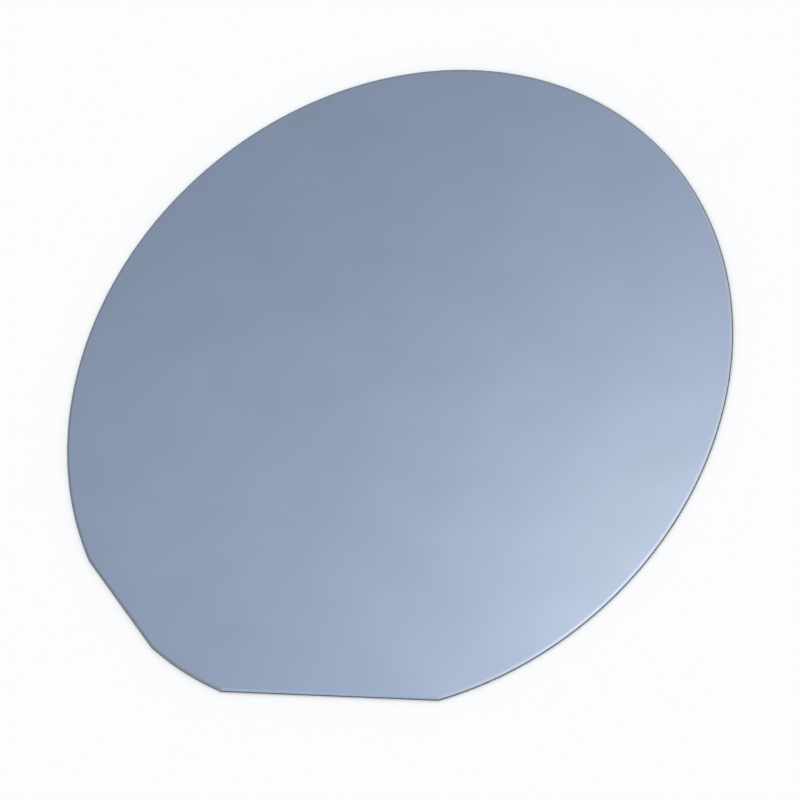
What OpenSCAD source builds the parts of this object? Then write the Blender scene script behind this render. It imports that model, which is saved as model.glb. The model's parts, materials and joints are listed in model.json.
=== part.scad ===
// Silicon wafer of the 100 mm size, one piece, lying on its back face.
// The polished front looks up +Z. The origin is the centre of the round rim, on the back face.
// The primary orientation flat faces -Y, and the secondary one lies clockwise from it, seen from above.

/* [Slice] */
// Diameter across the round rim
slice_d = 100; // [80:1:150]
// Thickness from the back face to the polished front
slice_t = 0.525; // [0.42:0.005:0.8]

/* [Orientation flats] */
// Length of the primary flat, from corner to corner
primary_len = 32.5; // [24:0.5:45]
// Length of the secondary flat, from corner to corner
secondary_len = 18; // [10:0.5:24]
// Turn from the primary flat to the secondary one, clockwise over the polished front
secondary_turn = 45; // [36:1:180]

/* [Ground edge] */
// Slope of the bevel that falls away from each face
bevel_slope = 22; // [11:1:30]
// Radius that rolls each bevel into the nose of the rim
nose_r = 0.1; // [0.05:0.01:0.18]
// Height of the upright land left at the tip of the nose
nose_land = 0.04; // [0.02:0.005:0.06]

/* [Hidden] */
// Steps in a full circle, so that the rim reads as round
$fn = 360;

rim_r = slice_d / 2;
mid_z = slice_t / 2;
// Where a bevel runs into the nose radius: in from the tip of the nose, and up from mid-thickness
roll_in = nose_r * (1 - sin(bevel_slope));
roll_up = nose_land / 2 + nose_r * cos(bevel_slope);
// Width of the ground edge on each face, from the tip of the nose to where the bevel starts
edge_w = roll_in + (mid_z - roll_up) / tan(bevel_slope);
// Side of the square blank whose one ground side makes a flat
blank_side = 1.2 * slice_d;

// Distance from the wafer's axis to a flat of the given length
function flat_distance(len) = sqrt(rim_r ^ 2 - (len / 2) ^ 2);

// Section above mid-thickness: flat face, bevel, nose radius and half the land.
// The tip of the nose is at x = 0, and the section reaches inward to x = -reach.
module half_section(reach) {
    polygon([
        [-reach, 0],
        [0, 0],
        [0, nose_land / 2],
        [-roll_in, roll_up],
        [-edge_w, mid_z],
        [-reach, mid_z],
    ]);
    translate([-nose_r, nose_land / 2])
        circle(r = nose_r);
}

// The whole section, the same on both faces, from the back at y = 0 to the front at y = slice_t
module slice_section(reach) {
    translate([0, mid_z]) {
        half_section(reach);
        mirror([0, 1])
            half_section(reach);
    }
}

// The slice with its edge ground all round
module round_slice() {
    rotate_extrude()
        translate([rim_r, 0])
            slice_section(rim_r);
}

// A square blank with the same edge ground along one side, where the flat of this length lies.
// What it shares with the round slice has that flat, mitred into the round edge at both corners.
module flat_slice(len, turn) {
    rotate([0, 0, -90 - turn])
        translate([flat_distance(len), blank_side / 2, 0])
            rotate([90, 0, 0])
                linear_extrude(blank_side)
                    slice_section(blank_side);
}

module wafer() {
    color([0.58, 0.64, 0.74])
        intersection() {
            round_slice();
            flat_slice(primary_len, 0);
            flat_slice(secondary_len, secondary_turn);
        }
}

wafer();
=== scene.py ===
import json
import math

import bmesh
import bpy
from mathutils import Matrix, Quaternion, Vector, noise


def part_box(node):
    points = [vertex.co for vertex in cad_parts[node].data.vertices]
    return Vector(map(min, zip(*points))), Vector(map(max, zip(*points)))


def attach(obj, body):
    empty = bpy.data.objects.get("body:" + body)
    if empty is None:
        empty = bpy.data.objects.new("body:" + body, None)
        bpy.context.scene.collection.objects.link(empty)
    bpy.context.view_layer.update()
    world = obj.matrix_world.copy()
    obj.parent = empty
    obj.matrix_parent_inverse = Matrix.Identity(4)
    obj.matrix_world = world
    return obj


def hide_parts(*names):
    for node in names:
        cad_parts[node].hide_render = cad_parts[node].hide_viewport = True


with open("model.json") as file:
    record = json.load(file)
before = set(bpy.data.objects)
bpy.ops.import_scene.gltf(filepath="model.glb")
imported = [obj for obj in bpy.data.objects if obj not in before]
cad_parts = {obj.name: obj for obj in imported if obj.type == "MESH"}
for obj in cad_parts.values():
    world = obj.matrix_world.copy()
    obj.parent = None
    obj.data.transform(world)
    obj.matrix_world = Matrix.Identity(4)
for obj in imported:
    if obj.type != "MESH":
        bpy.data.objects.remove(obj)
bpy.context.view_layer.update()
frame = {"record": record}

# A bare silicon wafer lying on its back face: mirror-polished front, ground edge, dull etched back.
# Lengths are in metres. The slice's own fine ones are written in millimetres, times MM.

MM = 0.001

# The slice, as the frame gives it
low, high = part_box("wafer")
thickness = high.z - low.z
mid_z = (low.z + high.z) / 2
mounts = {mount["name"]: mount for mount in frame["record"]["mounts"]}
rim_r = mounts["rim"]["dims"]["r_mm"] * MM

# The ground edge: a bevel falls from each face and rolls into the nose of the rim
BEVEL_SLOPE = math.radians(22)
NOSE_R = 0.1 * MM
NOSE_LAND = 0.04 * MM
ROLL_STEPS = 8
roll_in = NOSE_R * (1 - math.sin(BEVEL_SLOPE))
roll_up = NOSE_LAND / 2 + NOSE_R * math.cos(BEVEL_SLOPE)
edge_w = roll_in + (thickness / 2 - roll_up) / math.tan(BEVEL_SLOPE)

# The mesh: spacing of its stations along the rim, and rings from the middle of a face to its edge
STATION = 0.45 * MM
FACE_RINGS = 20

# Polishing leaves the front with a slow waviness, which dies away towards the edge
WAVE_HEIGHT = 0.004 * MM
WAVE_LENGTH = 28 * MM
WAVE_FADE = 6

# The finishes, in the order of the piece's slots
FRONT, EDGE, BACK = range(3)

# The map that the finishes can be baked through: the front and the back side by side at its foot,
# and above them the ground edge, unrolled in rows. Each of these panels keeps a gap round it.
BAKE_MAP = "OFBake"
FACES_SHARE = 0.6
EDGE_ROWS = 8
SIDE_GAP = 0.01
END_GAP = 0.003


class Flat:
    """An orientation flat: the way it faces, its distance from the wafer's axis and its length."""

    def __init__(self, name):
        x, y, _ = mounts[name]["pos_m"]
        self.facing = math.atan2(y, x)
        self.distance = math.hypot(x, y)
        self.length = 2 * math.sqrt(rim_r**2 - self.distance**2)

    def corners(self, inset):
        """Angles round the axis at which it meets the round edge, this far inside the rim."""
        half = math.acos((self.distance - inset) / (rim_r - inset))
        return self.facing - half, self.facing + half

    def arc_to(self, following, inset):
        """Start and sweep of the round edge from this flat to the next one, anticlockwise."""
        start = self.corners(inset)[1]
        return start, (following.corners(inset)[0] - start) % math.tau


# Anticlockwise, seen from the front
flats = [Flat("secondary_flat"), Flat("primary_flat")]


def on_circle(radius, angle):
    return Vector((radius * math.cos(angle), radius * math.sin(angle), 0))


def outline(inset):
    """The slice's plan this far inside the rim, anticlockwise: each flat, then the arc after it.
    Every inset has the same number of stations, so the corners line up.
    Returns the points, and which of them are corners."""
    radius = rim_r - inset
    points, corners = [], []
    for flat, following in zip(flats, flats[1:] + flats[:1]):
        steps = round(flat.length / STATION)
        first, last = (on_circle(radius, angle) for angle in flat.corners(inset))
        corners.append(len(points))
        points += [first.lerp(last, i / steps) for i in range(steps)]
        steps = round(flat.arc_to(following, 0)[1] * rim_r / STATION)
        start, sweep = flat.arc_to(following, inset)
        corners.append(len(points))
        points += [on_circle(radius, start + sweep * i / steps) for i in range(steps)]
    return points, corners


def edge_section():
    """The ground edge, from the front face round the nose to the back.
    Each point is how far it lies inside the rim, and its height over mid-thickness."""
    steepest = math.pi / 2 - BEVEL_SLOPE
    upper = [(edge_w, thickness / 2)]
    for i in range(ROLL_STEPS + 1):
        angle = steepest * (1 - i / ROLL_STEPS)
        upper.append((NOSE_R * (1 - math.cos(angle)), NOSE_LAND / 2 + NOSE_R * math.sin(angle)))
    return upper + [(inset, -height) for inset, height in reversed(upper)]


def waviness(point, share):
    """Height that polishing leaves at a point of the front, at this share of the way to its edge."""
    return WAVE_HEIGHT * noise.noise(point / WAVE_LENGTH) * (1 - share**WAVE_FADE)


def add_ring(bm, points, height):
    """A ring of vertices, where height is a number or is worked out from each point."""
    return [bm.verts.new((p.x, p.y, height(p) if callable(height) else height)) for p in points]


def add_band(bm, inner, outer, finish):
    """Faces between two rings, in one finish. They face outwards if the inner ring is the one that is
    nearer on the way from the front's middle, over the rim, to the back's middle."""
    for corners in zip(inner, outer, outer[1:] + outer[:1], inner[1:] + inner[:1]):
        # Round a face's middle two of the corners are one, which is named once
        face = bm.faces.new(list(dict.fromkeys(corners)))
        face.material_index = finish
        face.smooth = True


def on_panel(left, foot, width, height, across, up):
    """A place on the map, from its shares of the way across a panel and up it."""
    return (
        left + SIDE_GAP + across * (width - 2 * SIDE_GAP),
        foot + END_GAP + up * (height - 2 * END_GAP),
    )


def lay_on_map(bm):
    """Lays each face of the mesh on the map: the front and back as they are seen from outside,
    and the ground edge by its turn round the axis and its height."""
    layer = bm.loops.layers.uv.new(BAKE_MAP)
    row_height = (1 - FACES_SHARE) / EDGE_ROWS
    for face in bm.faces:
        middle = face.calc_center_median()
        turn = math.atan2(middle.y, middle.x) / math.tau % 1
        row = int(turn * EDGE_ROWS)
        for loop in face.loops:
            x, y, z = loop.vert.co
            if face.material_index == EDGE:
                ahead = (math.atan2(y, x) / math.tau - turn + 0.5) % 1 - 0.5
                along = (turn + ahead) * EDGE_ROWS - row
                foot = FACES_SHARE + row * row_height
                place = on_panel(0, foot, 1, row_height, along, z / thickness)
            else:
                left, side = (0, 1) if face.material_index == FRONT else (0.5, -1)
                across, up = (0.5 + side * x / (2 * rim_r), 0.5 + y / (2 * rim_r))
                place = on_panel(left, 0, 0.5, FACES_SHARE, across, up)
            loop[layer].uv = place


def make_slice(finishes):
    """The whole slice as one closed mesh, with its front, ground edge and back in a finish each."""
    bm = bmesh.new()
    face_plan, corners = outline(edge_w)
    shares = [i / FACE_RINGS for i in range(1, FACE_RINGS + 1)]

    middle = bm.verts.new((0, 0, high.z + waviness(Vector(), 0)))
    rings = [([middle] * len(face_plan), FRONT)]
    for share in shares:
        points = [p * share for p in face_plan]
        rings.append((add_ring(bm, points, lambda p, s=share: high.z + waviness(p, s)), FRONT))
    # The ground edge starts on the front's last ring and ends on the back's first
    for inset, height in edge_section()[1:]:
        rings.append((add_ring(bm, outline(inset)[0], mid_z + height), EDGE))
    edge_rings = [ring for ring, _ in rings[FACE_RINGS:]]
    for share in reversed(shares[:-1]):
        rings.append((add_ring(bm, [p * share for p in face_plan], low.z), BACK))
    rings.append(([bm.verts.new((0, 0, low.z))] * len(face_plan), BACK))

    for (inner, _), (outer, finish) in zip(rings, rings[1:]):
        add_band(bm, inner, outer, finish)

    # Crisp where each face breaks into its bevel, and at the mitres where the flats meet the round
    for ring in (edge_rings[0], edge_rings[-1]):
        for pair in zip(ring, ring[1:] + ring[:1]):
            bm.edges.get(pair).smooth = False
    for upper, lower in zip(edge_rings, edge_rings[1:]):
        for corner in corners:
            bm.edges.get((upper[corner], lower[corner])).smooth = False

    lay_on_map(bm)
    mesh = bpy.data.meshes.new("polished_slice")
    bm.to_mesh(mesh)
    bm.free()
    for finish in finishes:
        mesh.materials.append(finish)
    piece = bpy.data.objects.new("polished_slice", mesh)
    bpy.context.scene.collection.objects.link(piece)
    return piece


class Term:
    """A number, colour or vector that varies over a surface. Arithmetic on numbers adds Math nodes."""

    def __init__(self, shading, socket):
        self.shading = shading
        self.socket = socket

    def __add__(self, other):
        return self.shading.maths("ADD", self, other)

    def __sub__(self, other):
        return self.shading.maths("SUBTRACT", self, other)

    def __rsub__(self, other):
        return self.shading.maths("SUBTRACT", other, self)

    def __mul__(self, other):
        return self.shading.maths("MULTIPLY", self, other)

    def __truediv__(self, other):
        return self.shading.maths("DIVIDE", self, other)

    def __rtruediv__(self, other):
        return self.shading.maths("DIVIDE", other, self)

    def __pow__(self, other):
        return self.shading.maths("POWER", self, other)

    def __rpow__(self, other):
        return self.shading.maths("POWER", other, self)

    __radd__ = __add__
    __rmul__ = __mul__


# Sockets of a Mix node that mixes colours, given by number because others there share their names
MIX_SHARE, MIX_START, MIX_END, MIXED = 0, 6, 7, 2


class Shading:
    """The nodes of one material or world."""

    def __init__(self, owner):
        owner.use_nodes = True
        self.owner = owner
        self.tree = owner.node_tree
        self.tree.nodes.clear()

    def node(self, kind, settings=None, inputs=None, output=0):
        """Adds a node, sets it, gives its sockets values or links, and returns one of its outputs."""
        made = self.tree.nodes.new("ShaderNode" + kind)
        for name, value in (settings or {}).items():
            setattr(made, name, value)
        for name, value in (inputs or {}).items():
            if isinstance(value, Term):
                self.tree.links.new(value.socket, made.inputs[name])
            else:
                made.inputs[name].default_value = value
        return Term(self, made.outputs[output])

    def maths(self, operation, *values):
        return self.node("Math", {"operation": operation}, dict(enumerate(values)))

    def vector_maths(self, operation, *values, output=0, **named):
        inputs = dict(enumerate(values)) | {name.capitalize(): value for name, value in named.items()}
        return self.node("VectorMath", {"operation": operation}, inputs, output)

    def xyz(self, vector):
        return [self.node("SeparateXYZ", {}, {0: vector}, axis) for axis in "XYZ"]

    def mix(self, share, start, end):
        """One colour into another."""
        sockets = {MIX_SHARE: share, MIX_START: start, MIX_END: end}
        return self.node("Mix", {"data_type": "RGBA"}, sockets, MIXED)

    def ease(self, value, start, end):
        """0 up to start, 1 from end on, and smooth between them."""
        sockets = {"Value": value, "From Min": start, "From Max": end}
        return self.node("MapRange", {"interpolation_type": "SMOOTHSTEP"}, sockets)

    def clouds(self, place, size, detail=2.0, roughness=0.5):
        """Noise from 0 to 1 with patches of about this size."""
        sockets = {"Vector": place, "Scale": 1 / size, "Detail": detail, "Roughness": roughness}
        return self.node("TexNoise", {}, sockets)

    def bump(self, height, depth):
        return self.node("Bump", {}, {"Strength": 1.0, "Distance": depth, "Height": height})

    def surface(self, **sockets):
        """Ends a material in the one shader, with underscores for the spaces in its sockets' names."""
        named = {name.replace("_", " "): value for name, value in sockets.items()}
        self.end("OutputMaterial", self.node("BsdfPrincipled", {}, named))
        return self.owner

    def end(self, kind, shader):
        """Ends the tree in its output node."""
        out = self.tree.nodes.new("ShaderNode" + kind)
        self.tree.links.new(shader.socket, out.inputs["Surface"])


# The haze on the front: the size of its clouds, and the scale that draws them out along X
HAZE_SIZE = 9 * MM
HAZE_SCALE = (0.7, 1, 1)


def polished_front():
    """Mirror polish: silicon's cold blue grey, with a trace of haze in slow clouds."""
    polish = Shading(bpy.data.materials.new("polished_front"))
    place = polish.node("TexCoord", output="Object")
    drawn_out = polish.vector_maths("MULTIPLY", place, HAZE_SCALE)
    haze = polish.clouds(drawn_out, HAZE_SIZE, detail=3.0, roughness=0.5)
    colour = polish.mix(haze, (0.28, 0.352, 0.486, 1), (0.32, 0.402, 0.556, 1))
    return polish.surface(Base_Color=colour, Metallic=1.0, Roughness=0.015 + 0.03 * haze)


# The grinding lines: their pitch across the rim, their depth, and how far they are drawn out along it
LINE_PITCH = 0.02 * MM
LINE_DEPTH = 0.0003 * MM
LINE_STRETCH = 250
# Patches of paler and darker bevel
PATCH_SIZE = 1.5 * MM
# Heights from mid-thickness between which the nose's painted shade turns into the bevel's colour
NOSE_SHADE_TO = 0.9 * roll_up
BEVEL_FROM = 1.3 * roll_up


def ground_edge():
    """Fine grinding: lines that run along the rim, round and flats alike.
    The nose is painted near black, a painted shade for the dark it reflects from under the edge."""
    grind = Shading(bpy.data.materials.new("ground_edge"))
    place = grind.node("TexCoord", output="Object")
    x, y, z = grind.xyz(place)
    inset = rim_r - (x * x + y * y) ** 0.5
    for flat in flats:
        across = x * math.cos(flat.facing) + y * math.sin(flat.facing)
        inset = grind.maths("MINIMUM", inset, flat.distance - across)
    along = grind.maths("ARCTAN2", y, x) * rim_r
    track = grind.node("CombineXYZ", {}, {"X": inset, "Y": along / LINE_STRETCH, "Z": z})
    lines = grind.clouds(track, LINE_PITCH, detail=2.0, roughness=0.6)
    patches = grind.clouds(place, PATCH_SIZE)
    bevel = grind.mix(0.5 * lines + 0.5 * patches, (0.37, 0.435, 0.55, 1), (0.45, 0.518, 0.635, 1))
    # Painted shade: the nose's near black stands in for the dark it reflects from under the edge, and
    # it reaches over the outer part of each bevel
    nose = grind.mix(lines, (0.07, 0.075, 0.085, 1), (0.11, 0.12, 0.135, 1))
    rise = grind.maths("ABSOLUTE", z - mid_z)
    colour = grind.mix(grind.ease(rise, NOSE_SHADE_TO, BEVEL_FROM), nose, bevel)
    return grind.surface(
        Base_Color=colour,
        Metallic=1.0,
        Roughness=0.06 + 0.08 * lines,
        Normal=grind.bump(lines, LINE_DEPTH),
    )


# What the acid leaves on the back: round pits with a finer grain in them, and a slow mottle
PIT_SIZE = 0.2 * MM
PIT_DEPTH = 0.016 * MM
GRAIN_SIZE = 0.09 * MM
MOTTLE_SIZE = 4.5 * MM


def etched_back():
    """Acid etch: a dull grey of shallow round pits, mottled over some millimetres."""
    etch = Shading(bpy.data.materials.new("etched_back"))
    place = etch.node("TexCoord", output="Object")
    sockets = {"Vector": place, "Scale": 1 / PIT_SIZE, "Smoothness": 0.6}
    pits = etch.node("TexVoronoi", {"feature": "SMOOTH_F1"}, sockets)
    grain = etch.clouds(place, GRAIN_SIZE, detail=3.0, roughness=0.6)
    mottle = etch.ease(etch.clouds(place, MOTTLE_SIZE, detail=5.0, roughness=0.6), 0.25, 0.75)
    tone = 0.4 * mottle + 0.4 * pits + 0.2 * grain
    colour = etch.mix(tone, (0.205, 0.215, 0.235, 1), (0.405, 0.415, 0.435, 1))
    relief = 0.7 * pits + 0.3 * grain
    return etch.surface(
        Base_Color=colour,
        Metallic=1.0,
        Roughness=0.34 + 0.18 * mottle,
        Normal=etch.bump(relief, PIT_DEPTH),
    )


# The studio: dim walls, soft lights that fade into them, and a horizon as pale as the lit floor
WALLS = (0.4, 0.4, 0.4)
HORIZON = (0.95, 0.965, 0.98, 1)
HORIZON_FROM = math.radians(2.2)
HORIZON_TO = math.radians(3.6)


def direction(turn, height):
    """Unit vector at an angle round the axis from +X, and above the floor."""
    return on_circle(math.cos(height), turn) + Vector((0, 0, math.sin(height)))


class SoftLight:
    """A light far off, its turn round the axis and its height over the floor in degrees.
    It fades smoothly from its middle, and the sharper it is, the smaller."""

    def __init__(self, turn, height, colour, sharpness):
        self.middle = direction(math.radians(turn), math.radians(height))
        self.colour = colour
        self.sharpness = sharpness

    def glow(self, air, way):
        """Its light along each way: full at its middle, and nothing opposite."""
        aligned = air.vector_maths("DOT_PRODUCT", way, self.middle, output="Value")
        share = ((1 + aligned) / 2) ** self.sharpness
        return air.vector_maths("SCALE", self.colour, scale=share)


SOFT_LIGHTS = [
    SoftLight(-13, 40, (0.91, 0.91, 0.91), 2.1),
    SoftLight(-37, 69, (0.54, 0.54, 0.54), 20),
    SoftLight(133, 64.7, (1.38, 1.29, 1.23), 270),
    SoftLight(133.5, 60.4, (0.19, 0.13, 0), 1500),
    SoftLight(142, 54.5, (0.09, 0.09, 0.08), 1750),
    SoftLight(-144, 60, (0.06, 0.18, 0.42), 200),
]


def light_studio():
    """Walls, lights and horizon together, as one sky that the whole scene is lit by."""
    world = bpy.data.worlds.new("soft_studio")
    bpy.context.scene.world = world
    air = Shading(world)
    way = air.node("TexCoord", output="Generated")
    light = WALLS
    for lamp in SOFT_LIGHTS:
        light = air.vector_maths("ADD", light, lamp.glow(air, way))
    rise = air.ease(air.xyz(way)[2], math.sin(HORIZON_FROM), math.sin(HORIZON_TO))
    colour = air.mix(rise, HORIZON, light)
    air.end("OutputWorld", air.node("Background", {}, {"Color": colour, "Strength": 1.0}))


FLOOR_R = 5.0
FLOOR_SIDES = 96
FLOOR_COLOUR = (0.965, 0.98, 0.995, 1)


def lay_floor():
    paint = Shading(bpy.data.materials.new("studio_floor"))
    finish = paint.surface(Base_Color=FLOOR_COLOUR, Roughness=0.9, Specular_IOR_Level=0.1)
    bm = bmesh.new()
    bmesh.ops.create_circle(bm, cap_ends=True, radius=FLOOR_R, segments=FLOOR_SIDES)
    mesh = bpy.data.meshes.new("studio_floor")
    bm.to_mesh(mesh)
    bm.free()
    mesh.materials.append(finish)
    floor = bpy.data.objects.new("studio_floor", mesh)
    floor.location.z = low.z
    bpy.context.scene.collection.objects.link(floor)


# The camera looks down on the front from +X and -Y, and its frame is rolled
LENS = 200
VIEW_TURN = math.radians(-43.76)
VIEW_HEIGHT = math.radians(55.94)
VIEW_ROLL = math.radians(40.25)
VIEW_DISTANCE = 0.621
VIEW_AIM = Vector((1.82, -2.71, 0.26)) * MM


def set_camera():
    camera = bpy.data.objects.new("camera", bpy.data.cameras.new("camera"))
    camera.data.lens = LENS
    camera.data.clip_start = 0.01
    camera.data.clip_end = 2 * FLOOR_R
    back = direction(VIEW_TURN, VIEW_HEIGHT)
    camera.location = VIEW_AIM + back * VIEW_DISTANCE
    camera.rotation_mode = "QUATERNION"
    camera.rotation_quaternion = (-back).to_track_quat("-Z", "Y") @ Quaternion((0, 0, 1), -VIEW_ROLL)
    bpy.context.scene.collection.objects.link(camera)
    bpy.context.scene.camera = camera


set_camera()
light_studio()
lay_floor()

wafer = make_slice([polished_front(), ground_edge(), etched_back()])
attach(wafer, "root")
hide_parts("wafer")

bpy.context.scene.view_settings.view_transform = "Standard"
